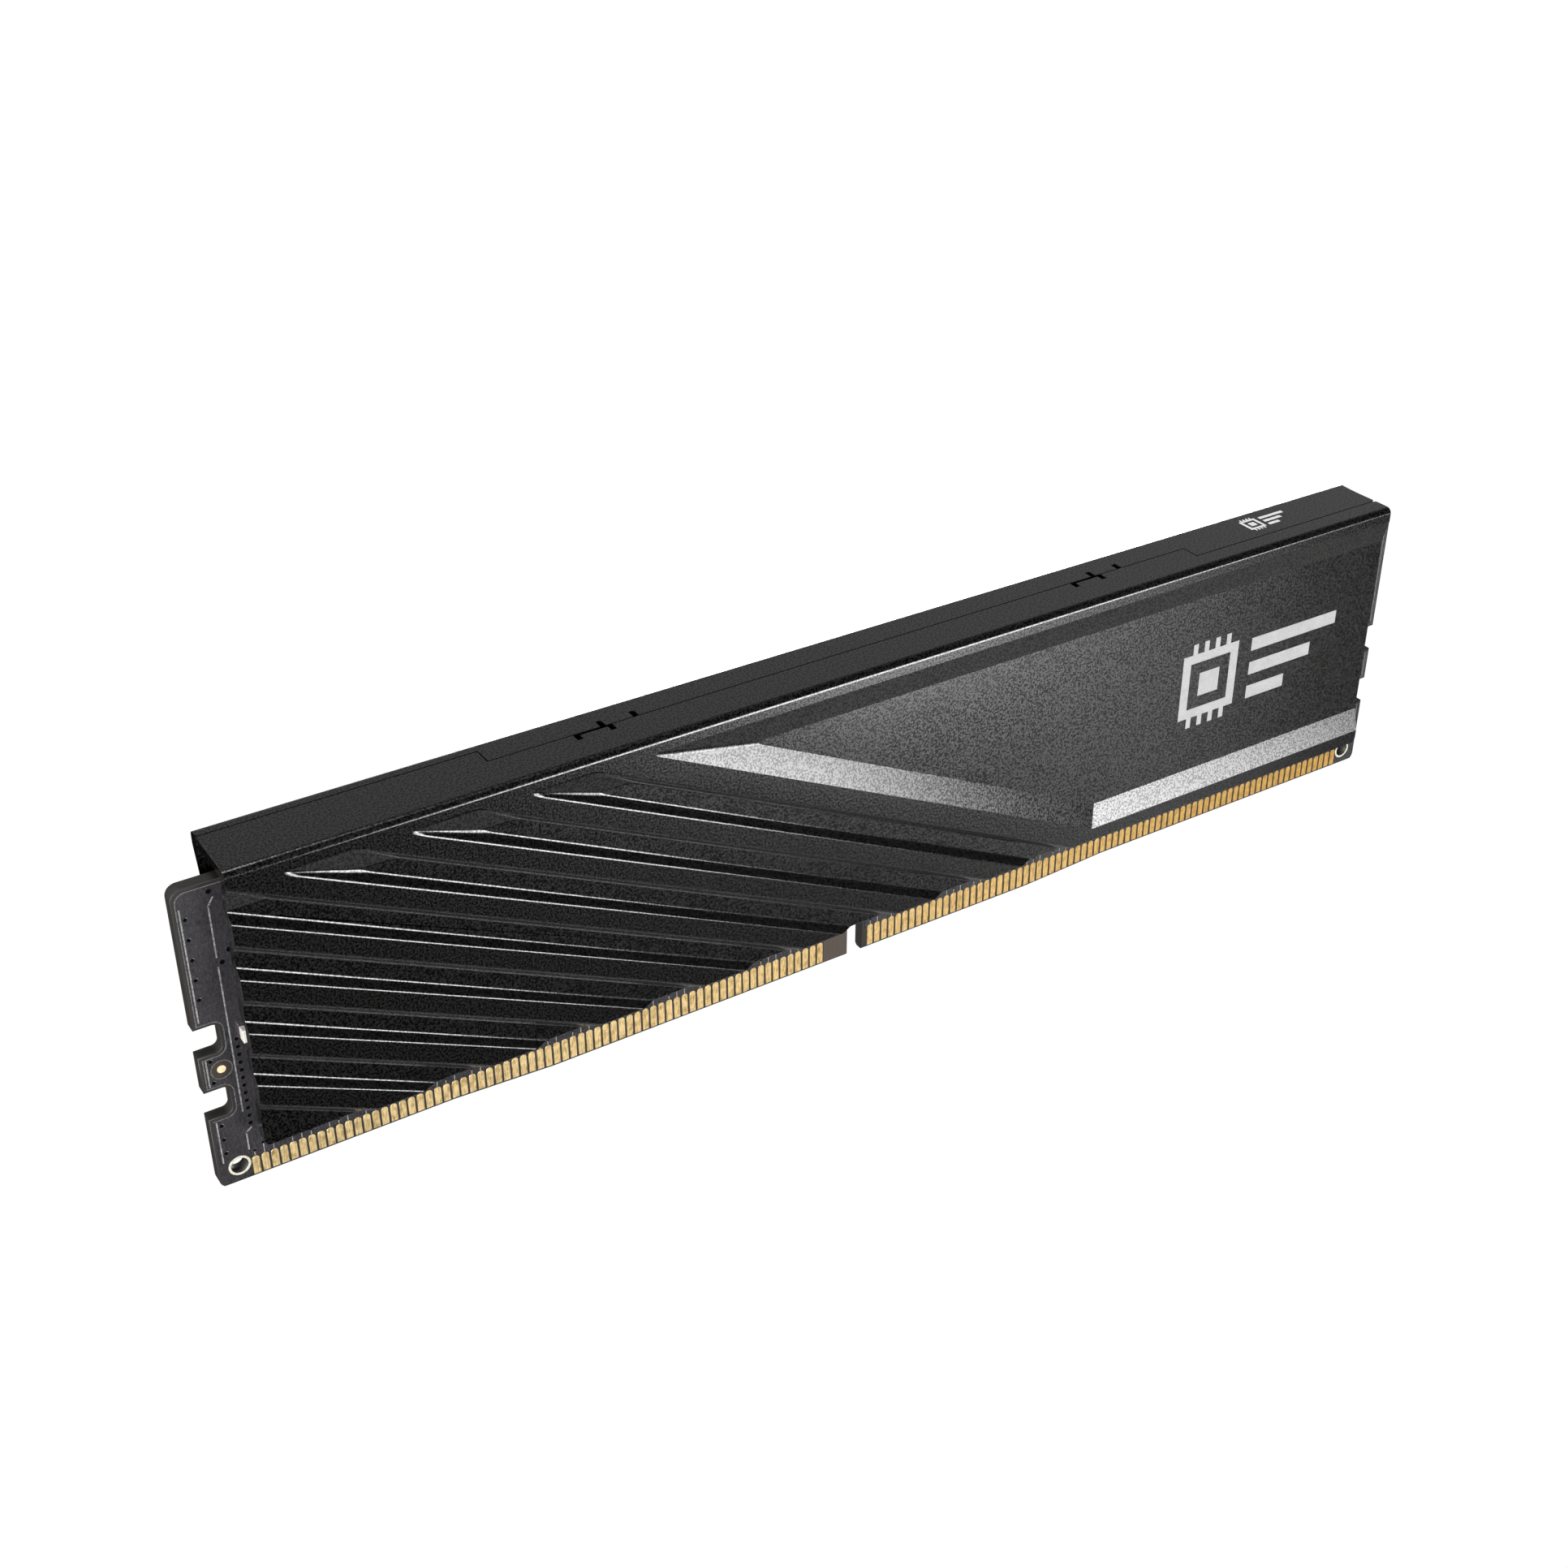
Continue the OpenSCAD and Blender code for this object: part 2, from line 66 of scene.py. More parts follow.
# %% Camera
VIEW_TURN = math.radians(32.4212)
VIEW_DROP = math.radians(31.7138)
VIEW_DISTANCE = 200.87 * MM
aim = Vector((-9.26, 0, 21.98)) * MM
sight = Vector((math.sin(VIEW_TURN) * math.cos(VIEW_DROP),
                math.cos(VIEW_TURN) * math.cos(VIEW_DROP),
                -math.sin(VIEW_DROP)))
lens = bpy.data.cameras.new("camera")
lens.lens = 49.80
lens.sensor_width = 36
lens.clip_start = 0.01
lens.clip_end = 100
camera = bpy.data.objects.new("camera", lens)
camera.location = aim - sight * VIEW_DISTANCE
camera.rotation_euler = (math.pi / 2 - VIEW_DROP, 0, -VIEW_TURN)
bpy.context.scene.collection.objects.link(camera)
bpy.context.scene.camera = camera
print("camera, mm:", [round(v / MM, 1) for v in camera.location])

# %% [markdown]
# ## Numbers that run through nodes
# A procedural finish is a small sum: noise times this, plus that. Wiring every Math node
# by hand hides the sum, so one small class wraps a socket and lets Python's own signs
# add the nodes. One method makes every other kind of node.


# %% Sums on sockets
class Value:
    """A number, colour or vector that comes out of a node."""

    def __init__(self, finish, socket):
        self.finish = finish
        self.socket = socket

    def sum(self, operation, *numbers):
        return self.finish.node("Math", {"operation": operation}, dict(enumerate(numbers)))

    def __add__(self, other):
        return self.sum("ADD", self, other)

    def __mul__(self, other):
        return self.sum("MULTIPLY", self, other)

    def __truediv__(self, other):
        return self.sum("DIVIDE", self, other)

    __radd__ = __add__
    __rmul__ = __mul__


class Nodes:
    """A node tree that is filled by calling node()."""

    def __init__(self, tree):
        self.tree = tree

    def node(self, kind, settings, inputs, output=0):
        made = self.tree.nodes.new("ShaderNode" + kind)
        for name, value in settings.items():
            setattr(made, name, value)
        for name, value in inputs.items():
            self.join(value, made.inputs[name])
        return Value(self, made.outputs[output])

    def join(self, value, socket):
        if isinstance(value, Value):
            self.tree.links.new(value.socket, socket)
        else:
            socket.default_value = value

    def blend(self, low, high, share):
        """A colour between two colours."""
        return self.node("Mix", {"data_type": "RGBA"}, {0: share, 6: low, 7: high}, 2)

    def fade(self, value, start, end, low=0.0, high=1.0):
        """Goes smoothly from low to high as value goes from start to end."""
        return self.node("MapRange", {"interpolation_type": "SMOOTHSTEP"},
                         {0: value, 1: start, 2: end, 3: low, 4: high})


# %% [markdown]
# ## A finish
# A finish is one material. Its patterns are laid out in the object's own metres, so a
# grain of a tenth of a millimetre stays that size on every part. What is the same all
# over, such as the index of refraction, is set straight on the shader.


# %% A finish and its patterns
class Finish(Nodes):
    def __init__(self, name, **fixed):
        self.material = bpy.data.materials.new(name)
        self.material.use_nodes = True
        super().__init__(self.material.node_tree)
        self.shader = self.tree.nodes["Principled BSDF"]
        self.place = self.node("TexCoord", {}, {}, "Object")
        for name, value in fixed.items():
            self.shader.inputs[name.replace("_", " ")].default_value = value

    def stretched(self, stretch):
        return self.node("VectorMath", {"operation": "MULTIPLY"}, {0: self.place, 1: stretch})

    def noise(self, size, detail=2.0, stretch=(1, 1, 1)):
        """Cloudy noise whose lumps are about size metres across."""
        return self.node("TexNoise", {}, {"Vector": self.stretched(stretch),
                                          "Scale": 1 / size, "Detail": detail})

    def along(self, axis):
        return self.node("SeparateXYZ", {}, {0: self.place}, axis)

    def wave(self, axis, size, twist=0.0):
        """Stripes across an axis, size metres apart."""
        return self.node("TexWave", {"bands_direction": axis},
                         {"Vector": self.place, "Scale": math.pi / (10 * size),
                          "Distortion": twist, "Detail": 1.0})

    def relief(self, height, depth, strength=1.0):
        """Tilts the surface as if height were that many metres deep."""
        self.join(self.node("Bump", {}, {"Height": height, "Distance": depth,
                                         "Strength": strength}), self.shader.inputs["Normal"])

    def coat(self, **values):
        for name, value in values.items():
            self.join(value, self.shader.inputs[name.replace("_", " ")])
        return self.material


def grey(level, warm=0.0):
    """A neutral colour, a little warmer where warm is above 0."""
    return (level * (1 + warm), level, level * (1 - warm), 1)


# %% [markdown]
# ## The black coat
# The sheets are sprayed with a fine textured paint. Between its glossy droplets lie dull
# pits, so a broad reflection breaks up into a fine sparkle. A fine noise places the
# droplets, tilts the surface and takes the shine out of the pits, for which a black metal
# that reflects almost nothing stands. A wide noise is the spray's uneven thickness.


# %% Spreader coat
def black_coat():
    f = Finish("black_satin_coat", IOR=1.94)
    droplets = f.noise(0.2 * MM, 2.0)
    spray = f.noise(2.5 * MM, 2.0)
    pits = f.fade(droplets, 0.58, 0.40)
    f.relief(droplets, 0.003 * MM)
    return f.coat(Base_Color=f.blend(grey(0.008, 0.03), grey(0.001), pits),
                  Metallic=0.5 * pits,
                  Roughness=0.11 + 0.10 * droplets + 0.02 * spray)


spreader_coat = black_coat()

# %% [markdown]
# ## Board finishes
# The board is woven glass in resin, nearly black at its sawn edges and brown where it
# lies bare. Dark lacquer, the solder mask, covers both faces, and the copper under it
# makes faint streaks. Round the sight marks the bare board is stained darker.


# %% Laminate, mask and bare laminate
def sawn_laminate():
    f = Finish("sawn_laminate", IOR=1.5)
    plies = f.wave("Y", 0.16 * MM, 1.2)
    dust = f.noise(0.12 * MM, 3.0)
    f.relief(dust, 0.02 * MM, 0.6)
    return f.coat(Base_Color=f.blend(grey(0.011, 0.08), grey(0.030, 0.12), plies * dust),
                  Roughness=0.45 + 0.3 * dust)


def mask_lacquer():
    f = Finish("mask_lacquer", IOR=1.5)
    streaks = f.noise(0.11 * MM, 2.0, (1, 1, 0.18))
    pores = f.noise(0.2 * MM, 2.0)
    copper = f.noise(3.0 * MM, 1.0)
    f.relief(streaks, 0.008 * MM, 0.7)
    tone = 0.55 * streaks + 0.25 * pores + 0.2 * copper
    return f.coat(Base_Color=f.blend((0.016, 0.015, 0.017, 1), (0.040, 0.038, 0.042, 1),
                                     f.fade(tone, 0.3, 0.7)),
                  Roughness=0.20 + 0.12 * pores)


def bare_laminate(name, dark, light):
    f = Finish(name, IOR=1.5)
    weave = f.wave("X", 0.24 * MM, 0.6) * f.wave("Z", 0.24 * MM, 0.6)
    stain = f.noise(0.7 * MM, 3.0)
    f.relief(weave, 0.01 * MM, 0.6)
    return f.coat(Base_Color=f.blend(dark, light, 0.5 * weave + 0.6 * stain),
                  Roughness=0.5 + 0.2 * stain)


core_finish, mask_finish = sawn_laminate(), mask_lacquer()
bare_finish = bare_laminate("bare_laminate", (0.038, 0.027, 0.020, 1), (0.080, 0.058, 0.045, 1))
window_finish = bare_laminate("sight_window", (0.018, 0.011, 0.008, 1), (0.040, 0.026, 0.019, 1))

# %% [markdown]
# ## Metals
# The contacts are hard gold over nickel, rubbed upright by plugging in, so their
# scratches run along Z. Their gold is painted paler at the left end and deeper towards
# the right. This is a painted reflection, for the light they mirror falls off along the row. The
# raised copper lines are painted lighter than the lacquer: partly copper showing through
# it, partly a painted highlight on their raised edges. The rings round the corner holes
# and the ends of small parts are tinned. The sight marks are a paler, untouched gold.


# %% Gold, tin and lines
def rubbed_gold_painted_reflection():
    f = Finish("rubbed_gold_painted_reflection", Metallic=1.0)
    scratches = f.noise(0.05 * MM, 2.0, (1, 1, 0.06))
    clouds = f.noise(0.5 * MM, 3.0)
    # Painted reflection: the gold is paler at the left end and deeper at the right, standing for
    # the mirrored light falling off along the row.
    painted_reflection_drift = f.fade(f.along("X"), LEFT, RIGHT)
    pale = f.blend((1.0, 0.79, 0.42, 1), (0.58, 0.36, 0.11, 1), painted_reflection_drift)
    deep = f.blend((0.44, 0.28, 0.10, 1), (0.29, 0.16, 0.04, 1), painted_reflection_drift)
    f.relief(scratches, 0.004 * MM, 0.6)
    return f.coat(Base_Color=f.blend(deep, pale, f.fade(0.6 * scratches + 0.4 * clouds, 0.3, 0.6)),
                  Roughness=0.40 + 0.12 * clouds + 0.08 * scratches)


def dull_tin(name, colour, bright):
    f = Finish(name, Metallic=0.35)
    lumps = f.noise(0.22 * MM, 3.0)
    f.relief(lumps, 0.02 * MM, 0.6)
    return f.coat(Base_Color=f.blend(colour, bright, f.fade(lumps, 0.3, 0.7)),
                  Roughness=0.3 + 0.25 * lumps)


# Raised lines and the lacquer's ridge are painted lighter than the lacquer: partly copper showing
# through, partly a painted highlight on their raised edges.
def line_with_painted_highlight(name, dark, light):
    f = Finish(name, IOR=1.5)
    worn = f.noise(0.15 * MM, 3.0)
    return f.coat(Base_Color=f.blend(dark, light, f.fade(worn, 0.3, 0.7)),
                  Roughness=0.3 + 0.15 * worn)


gold_finish = rubbed_gold_painted_reflection()
ring_finish = dull_tin("ring_tin", (0.52, 0.49, 0.38, 1), (0.80, 0.78, 0.66, 1))
tin_finish = dull_tin("cap_tin", (0.78, 0.74, 0.68, 1), (0.98, 0.94, 0.88, 1))
line_finish = line_with_painted_highlight("line_with_painted_highlight", grey(0.10), grey(0.28))
ridge_finish = line_with_painted_highlight("ridge_with_painted_highlight", grey(0.05), grey(0.12))
sight_finish = dull_tin("sight_gold", (0.80, 0.62, 0.34, 1), (1.0, 0.86, 0.58, 1))

# %% [markdown]
# ## Moulded bodies, pads and ink
# Chips are moulded from filled epoxy with a fine sandy surface. Capacitors are fired
# ceramic, the pads are soft silicone full of white filler, and the marks on the coat are
# screen printed, so their ink is a little uneven.


# %% Bodies, pads and ink
def speckled(name, dark, light, grain, rough, depth, ior=1.48):
    f = Finish(name, IOR=ior)
    sand = f.noise(grain, 3.0)
    patches = f.noise(8 * grain, 2.0)
    f.relief(sand, depth, 0.8)
    return f.coat(Base_Color=f.blend(dark, light, f.fade(0.7 * sand + 0.3 * patches, 0.35, 0.65)),
                  Roughness=rough + 0.2 * sand)


chip_finish = speckled("moulded_epoxy", grey(0.008), grey(0.022), 0.09 * MM, 0.5, 0.01 * MM)
# Painted shade: a near-black colour that reflects almost nothing, standing for the shade inside a
# drilled hole.
hole_shade_finish = speckled("painted_hole_shade", grey(0.001), grey(0.004), 0.05 * MM, 0.5, 0.004 * MM,
                        ior=1.05)
dot_finish = speckled("laser_dot", grey(0.06), grey(0.11), 0.05 * MM, 0.6, 0.005 * MM)
ceramic_finish = speckled("fired_ceramic", (0.16, 0.10, 0.055, 1), (0.28, 0.19, 0.11, 1),
                          0.08 * MM, 0.35, 0.01 * MM)
ferrite_finish = speckled("pressed_ferrite", grey(0.05, 0.03), grey(0.12, 0.03),
                          0.12 * MM, 0.5, 0.02 * MM)
pad_finish = speckled("silicone_pad", (0.22, 0.23, 0.25, 1), (0.36, 0.37, 0.39, 1),
                      0.25 * MM, 0.7, 0.03 * MM)
panel_ink = speckled("panel_ink", grey(0.40), grey(0.50), 0.16 * MM, 0.45, 0.006 * MM)
top_ink = speckled("top_ink", grey(0.74), grey(0.86), 0.16 * MM, 0.45, 0.006 * MM)
solder_finish = dull_tin("solder", (0.42, 0.42, 0.43, 1), (0.66, 0.66, 0.67, 1))
print("finishes:", len(bpy.data.materials))

# %% [markdown]
# ## From exact solids to pieces
# The frame's meshes are loose triangles, and they stay as they are. A copy is merged
# into clean flat faces, and its sharp edges are eased with a bevel, because every real
# edge has a small round that catches the light. The copy then stands for the solid.


# %% Copying, easing and keeping
def merged_copy(*nodes):
    """The shape of some frame parts as one mesh of clean flat faces."""
    bm = bmesh.new()
    for node in nodes:
        bm.from_mesh(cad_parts[node].data)
    bmesh.ops.remove_doubles(bm, verts=bm.verts, dist=0.001 * MM)
    bmesh.ops.dissolve_limit(bm, angle_limit=0.01, verts=bm.verts, edges=bm.edges)
    return bm


def sharp_edges(bm, angle=28, length=0.0):
    return [e for e in bm.edges if len(e.link_faces) == 2 and e.calc_length() > length
            and e.calc_face_angle(0) > math.radians(angle)]


def ease(bm, edges, width, segments=2):
    """Rounds edges off."""
    bmesh.ops.bevel(bm, geom=edges, offset=width, offset_type="OFFSET", segments=segments,
                    profile=0.5, affect="EDGES", material=-1, clamp_overlap=False)


def smooth_rounds(bm, narrow):
    """Shades strips narrower than this smoothly, and leaves wide faces flat."""
    for f in bm.faces:
        f.smooth = f.calc_area() < narrow * max(e.calc_length() for e in f.edges)


def piece(name, bm, finishes, slot, *stands_for):
    mesh = bpy.data.meshes.new(name)
    bm.to_mesh(mesh)
    bm.free()
    for finish in finishes:
        mesh.materials.append(finish)
    thing = bpy.data.objects.new(name, mesh)
    bpy.context.scene.collection.objects.link(thing)
    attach(thing, "root")
    if stands_for:
        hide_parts(*stands_for)
    print(name, len(mesh.polygons), "faces")
    return thing


# %% [markdown]
# ## The heat spreader
# A press folds each half from one sheet, so its bends and the edges of its channels are
# round. The rounds are narrow, but they are what draws the bright lines along every
# channel. The steep edges get a round. The shallow ones round the panel, in the half of the
# sheet without channels, stay crisp, because a round there would draw a line that the real
# sheet doesn't show. The lower corners are cut round.

# %% Spreader halves
TOP_BEND = 1.2 * MM
TIP_ZONE = 5.5 * MM
FLANGE_DEPTH = 1.1 * MM
STEEP = math.radians(30)


def direction(e):
    return (e.verts[0].co - e.verts[1].co).normalized()


def pressed_edge(e):
    """A long edge of the pressed relief, or a piece of the arc round a channel's tip."""
    middle = (e.verts[0].co + e.verts[1].co) / 2
    at_tip = middle.z > shell_high.z - TIP_ZONE
    return (abs(direction(e).x) > 0.6 and middle.z < shell_high.z - TOP_BEND
            and (at_tip or e.calc_length() > 1.5 * MM))


def side_middle(e, half):
    """How far right of the sheet's middle an edge lies, seen from outside the sheet."""
    return (e.verts[0].co.x + e.verts[1].co.x) / 2 * (1 if half == "front" else -1)


def channel_tip(e):
    """The valley where a channel's lower wall runs out into the wall along the top."""
    deep = abs(e.verts[0].co.y - e.verts[1].co.y)
    high = max(v.co.z for v in e.verts)
    return (e.calc_length() > 4 * MM and deep > 0.5 * MM
            and high > shell_high.z - TOP_BEND - 0.4 * MM)


def end_corner(e, axis):
    """An edge along an axis at the very end of the sheet."""
    return (abs(direction(e)[axis]) > 0.99 and e.calc_length() > 0.9 * MM
            and abs(e.verts[0].co.x) > shell_high.x - 0.1 * MM)


for half, node in (("front", "front_spreader"), ("rear", "rear_spreader")):
    bm = merged_copy(node)
    lower = [e for e in bm.edges if end_corner(e, 1)
             and max(v.co.z for v in e.verts) < shell_low.z + 0.1 * MM]
    ease(bm, lower, 0.7 * MM, 5)
    flange = [e for e in bm.edges if end_corner(e, 2)
              and min(v.co.z for v in e.verts) > shell_high.z - FLANGE_DEPTH]
    ease(bm, flange, 0.35 * MM, 4)
    tips = [e for e in bm.edges if channel_tip(e)]
    print(half, "corners:", len(lower), len(flange), "tips:", len(tips))
    ease(bm, tips, 0.25 * MM, 6)
    pressed = [e for e in sharp_edges(bm, 12, 0.1 * MM) if pressed_edge(e)
               and (e.calc_face_angle(0) > STEEP or side_middle(e, half) < 0)]
    ease(bm, pressed, 0.14 * MM, 3)
    smooth_rounds(bm, 0.22 * MM)
    piece(half + "_spreader_shell", bm, [spreader_coat], "spreader_black", node)

# %% [markdown]
# ## The board
# The core keeps its exact outline. Its sawn rim is eased a little on both faces, and the
# lacquer stops short of the rim. A low ridge runs round the lacquer where it climbs over
# the outermost copper, which is made by insetting the lacquer's face.

# %% Core and lacquer
def faces_of(bm, side):
    """The faces that look straight to the front (-1) or to the rear (1)."""
    return [f for f in bm.faces if f.normal.y * side > 0.99]


bm = merged_copy("board_core")
rim = [e for e in sharp_edges(bm, 60) if any(abs(f.normal.y) > 0.99 for f in e.link_faces)]
ease(bm, rim, 0.06 * MM, 2)
smooth_rounds(bm, 0.3 * MM)
piece("board_laminate", bm, [core_finish], "laminate", "board_core")

RIM_WIDTH = 0.11 * MM
RIM_RISE = 0.012 * MM
CONTACT_ZONE = 5 * MM
for half, side in (("front", -1), ("rear", 1)):
    bm = merged_copy(half + "_mask")
    piece(half + "_lacquer", bm, [mask_finish], "solder_mask", half + "_mask")
    bm = merged_copy(half + "_mask")
    ring = bmesh.ops.inset_region(bm, faces=faces_of(bm, side), thickness=RIM_WIDTH,
                                  use_even_offset=True, use_boundary=True)["faces"]
    ring = [f for f in ring if f.calc_center_median().z > CONTACT_ZONE]
    bmesh.ops.delete(bm, geom=[f for f in bm.faces if f not in ring], context="FACES")
    raised = bmesh.ops.extrude_face_region(bm, geom=bm.faces[:])["geom"]
    bmesh.ops.translate(bm, vec=(0, side * RIM_RISE, 0),
                        verts=[v for v in raised if isinstance(v, bmesh.types.BMVert)])
    bmesh.ops.recalc_face_normals(bm, faces=bm.faces)
    # The ridge is painted lighter than the lacquer: partly copper below it, partly a painted
    # highlight along its edge.
    piece(half + "_lacquer_rim", bm, [ridge_finish], "solder_mask")

# %% [markdown]
# ## Contacts
# Each contact is a plated strip with a round top. Its outer edges are eased, so that
# every strip has a thin bright border, as plated copper has.

# %% Contacts
for node in ("front_left_contacts", "front_right_contacts",
             "rear_left_contacts", "rear_right_contacts"):
    side = -1 if node.startswith("front") else 1
    bm = merged_copy(node)
    faces = set(faces_of(bm, side))
    ease(bm, [e for e in sharp_edges(bm, 60) if faces & set(e.link_faces)], 0.03 * MM, 2)
    smooth_rounds(bm, 0.05 * MM)
    piece(node + "_plated", bm, [gold_finish], "gold", node)

# %% [markdown]
# ## Lines and drilled points on the lacquer
# Copper lines run under the lacquer and raise it by a hair. Drilled points, the vias,
# join the layers: each is a small ring with a near-black disc on it, painted as the shade
# inside its hole. Both are built once for the left end of the front face and then turned
# and mirrored to the other ends, because the ends of such a board are alike.


# %% A raised line and a drilled point
def block(bm, low, high):
    """A box between two corners."""
    low, high = Vector(low), Vector(high)
    size, middle = high - low, (high + low) / 2
    made = bmesh.ops.create_cube(
        bm, size=1, matrix=Matrix.Translation(middle) @ Matrix.Diagonal((*size, 1)))
    return made["verts"]


def raised_line(bm, start, end, width, rise):
    """A bar on the front lacquer between two points given as (x, z)."""
    a, b = Vector((start[0], 0, start[1])), Vector((end[0], 0, end[1]))
    run = b - a
    turn = Matrix.Rotation(-math.atan2(run.z, run.x), 4, "Y")
    place = Matrix.Translation((a + b) / 2 + Vector((0, FRONT_FACE - rise / 2, 0)))
    shape = Matrix.Diagonal((run.length + width, rise, width, 1))
    bmesh.ops.create_cube(bm, size=1, matrix=place @ turn @ shape)


def facing_front(x, y, z):
    return Matrix.Translation((x, y, z)) @ Matrix.Rotation(math.pi / 2, 4, "X")


RISE = 0.014 * MM
HOLE_SHARE = 0.72


def drilled_point(rings, hole_shades, x, z, radius):
    """A low ring on the front lacquer and a near-black disc on it, a hair higher, painted as the
    shade inside the hole.
    """
    bmesh.ops.create_cone(rings, cap_ends=True, segments=14, radius1=radius,
                          radius2=radius * 0.8, depth=RISE,
                          matrix=facing_front(x, FRONT_FACE - RISE / 2, z))
    bmesh.ops.create_cone(hole_shades, cap_ends=True, segments=12, radius1=radius * HOLE_SHARE,
                          radius2=radius * HOLE_SHARE, depth=RISE * 1.3,
                          matrix=facing_front(x, FRONT_FACE - RISE * 0.65, z))


# %% [markdown]
# A guard line and a row of drilled points follow the end of the board between the
# notches. Further in, a second line and a close row of points lie along the spreader's
# end. The vertical places are heights above the contact edge.

# %% End lines
def end_details(lines, rings, hole_shades):
    guard, inner, row = LEFT + 0.58 * MM, LEFT + 2.92 * MM, LEFT + 3.4 * MM
    beside_guard, thin, close_step = LEFT + 0.95 * MM, 0.13 * MM, 0.82 * MM
    for top, bottom in ((29.4, 18.3), (14.3, 11.6), (7.7, 3.3)):
        raised_line(lines, (guard, top * MM), (guard, bottom * MM), thin, RISE)
    for top, bottom in ((29.0, 24.0), (23.0, 8.0), (5.6, 3.8)):
        raised_line(lines, (inner, top * MM), (inner, bottom * MM), thin, RISE)
    raised_line(lines, (inner, 29.0 * MM), (inner + 0.45 * MM, 29.7 * MM), thin, RISE)
    raised_line(lines, (inner, 5.6 * MM), (row, 6.0 * MM), thin, RISE)
    for top, count, step in ((28.4, 5, 1.98), (14.1, 2, 2.25), (7.2, 3, 1.5)):
        for k in range(count):
            drilled_point(rings, hole_shades, beside_guard, (top - k * step) * MM, 0.24 * MM)
    for k in range(12):
        drilled_point(rings, hole_shades, row, 15.5 * MM - k * close_step, 0.25 * MM)
    for x, z in ((3.12, 30.35), (3.3, 23.4), (4.0, 24.4)):
        drilled_point(rings, hole_shades, LEFT + x * MM, z * MM, 0.32 * MM)


# %% [markdown]
# Above the contacts every lane has a short feeder line that ends in a drilled point.
# The lanes step up and down in threes so that the points don't touch. Only those just
# under the spreader's lower edge show.

# %% Feeder lines
CONTACT_PITCH = 0.85 * MM
CONTACT_HALF = 0.33 * MM


def lane_places():
    """The middles of all contacts on one face, read from the frame."""
    places = []
    for node in ("front_left_contacts", "front_right_contacts"):
        low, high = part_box(node)
        count = round((high.x - low.x) / CONTACT_PITCH)
        run = high.x - low.x - 2 * CONTACT_HALF
        places += [low.x + CONTACT_HALF + k * run / (count - 1) for k in range(count)]
    return places


lanes = lane_places()
print("lanes on one face:", len(lanes))


LANE_WIDTH, LANE_RISE, LANE_POINT = 0.09 * MM, 0.012 * MM, 0.18 * MM


def feeders(lines, rings, hole_shades):
    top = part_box("front_left_contacts")[1].z
    for k, x in enumerate(lanes):
        reach = top + (0.45 + 0.55 * (k % 3)) * MM
        if k % 4 != 3:
            raised_line(lines, (x, top + 0.1 * MM), (x, reach), LANE_WIDTH, LANE_RISE)
            drilled_point(rings, hole_shades, x, reach + 0.15 * MM, LANE_POINT)


def on_every_end(bm, mirrored):
    """Copies the front left details to the other end, and all of them to the rear."""
    if mirrored:
        bmesh.ops.mirror(bm, geom=bm.verts[:] + bm.edges[:] + bm.faces[:], axis="X",
                         merge_dist=0)
    twin = bmesh.ops.duplicate(bm, geom=bm.verts[:] + bm.edges[:] + bm.faces[:])["geom"]
    bmesh.ops.rotate(bm, cent=(0, 0, 0), matrix=Matrix.Rotation(math.pi, 3, "Z"),
                     verts=[v for v in twin if isinstance(v, bmesh.types.BMVert)])
    bmesh.ops.recalc_face_normals(bm, faces=bm.faces)


for name, build, mirrored in (("end", end_details, True), ("lane", feeders, False)):
    lines, rings, hole_shades = bmesh.new(), bmesh.new(), bmesh.new()
    build(lines, rings, hole_shades)
    for bm in (lines, rings, hole_shades):
        on_every_end(bm, mirrored)
    # The lines are painted lighter than the lacquer: partly copper below them, partly a painted
    # highlight on their raised edges.
    piece(name + "_lines", lines, [line_finish], "solder_mask")
    piece(name + "_point_rings", rings, [mask_finish], "solder_mask")
    piece(name + "_point_hole_shades", hole_shades, [hole_shade_finish], "solder_mask")

# %% [markdown]
# ## Holes, sight marks and bare laminate
# The corner holes are plated through, and the rings round them are tinned. Their walls
# take the dark sawn laminate instead of tin, as painted shade inside the holes. The sight
# marks are gold dots in a round window of bare laminate, and a small patch beside the key
# slot is bare as well.

# %% Holes and bare laminate
bm = merged_copy("hole_rings")
ease(bm, [e for e in sharp_edges(bm, 60)], 0.008 * MM, 1)
piece("tinned_rings", bm, [ring_finish], "bare_ring", "hole_rings")

ring_low, ring_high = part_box("hole_rings")
hole_z = (ring_low.z + ring_high.z) / 2
hole_x = ring_high.x - (ring_high.z - ring_low.z) / 2
board_depth = board_high.y - board_low.y
HOLE_RADIUS = 0.779 * MM
bm = bmesh.new()
for side in (-1, 1):
    bmesh.ops.create_cone(bm, cap_ends=False, segments=48, radius1=HOLE_RADIUS,
                          radius2=HOLE_RADIUS, depth=board_depth,
                          matrix=facing_front(side * hole_x, 0, hole_z))
bmesh.ops.recalc_face_normals(bm, faces=bm.faces)
bmesh.ops.solidify(bm, geom=bm.faces[:], thickness=0.03 * MM)
bmesh.ops.recalc_face_normals(bm, faces=bm.faces)
for f in bm.faces:
    f.smooth = abs(f.normal.y) < 0.5
# Painted shade: the barrel walls take the dark laminate finish, not tin, to darken the inside of
# the holes.
piece("hole_barrels", bm, [core_finish], "bare_ring")

mark_low, mark_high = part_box("fiducials")
mark_r = 0.38 * MM
mark_x, mark_z = mark_high.x - mark_r, (mark_low.z + mark_high.z) / 2
bm = merged_copy("fiducials")
ease(bm, sharp_edges(bm, 60), 0.01 * MM, 1)
piece("sight_marks", bm, [sight_finish], "gold", "fiducials")

